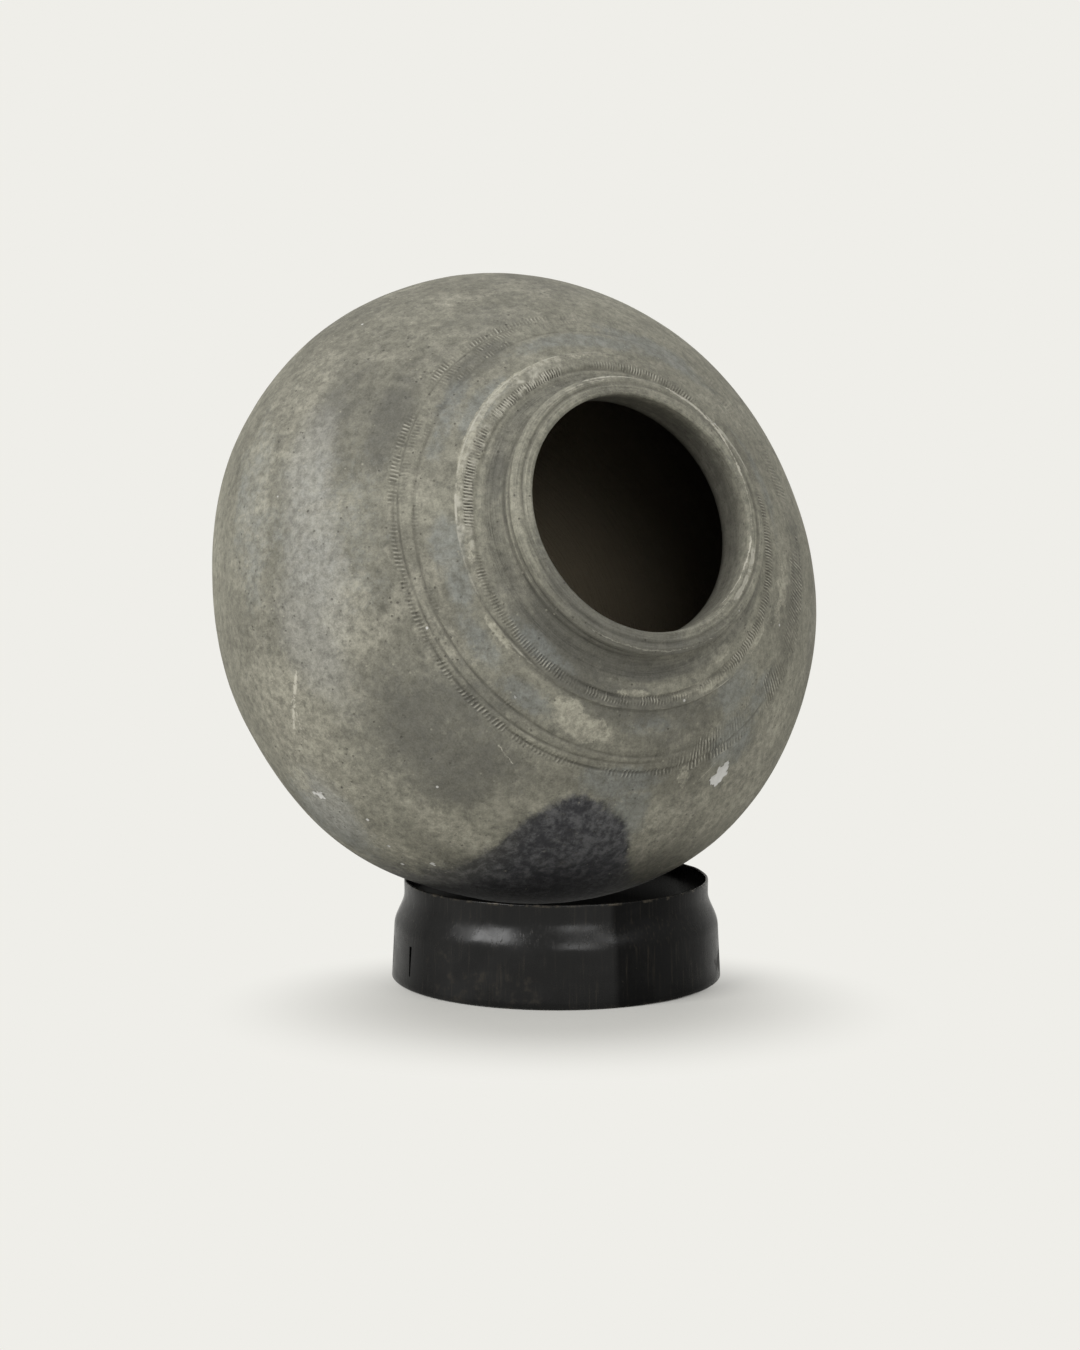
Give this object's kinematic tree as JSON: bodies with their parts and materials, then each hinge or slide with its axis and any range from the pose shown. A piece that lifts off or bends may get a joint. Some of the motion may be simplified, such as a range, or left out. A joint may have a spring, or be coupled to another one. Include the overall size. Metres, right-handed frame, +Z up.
{
  "type": "clay water pot on ring stand",
  "caption": "Round-bellied hand-made clay water pot with a short neck and rolled lip, lying tilted in a low black steel ring stand.",
  "frame": {"origin": "below the middle of the whole object's bounding box, on the surface that it stands on", "axes": "+Z up; the pot's mouth looks along -Y and 20 degrees up; X = 0 halves the pot and the ring stand"},
  "size_m": [0.395, 0.3318, 0.4263],
  "materials": {
    "clay": "matte, smoke-stained",
    "black_steel": "satin black"
  },
  "bodies": {
    "stand": {"ring_stand": "black_steel"},
    "pot": {"clay_pot": "clay"}
  },
  "joints": [
    {"name": "pot_lift", "type": "slide", "parent": "stand", "child": "pot", "axis": [0, 0, 1], "range_m": [0, 0.2]}
  ]
}
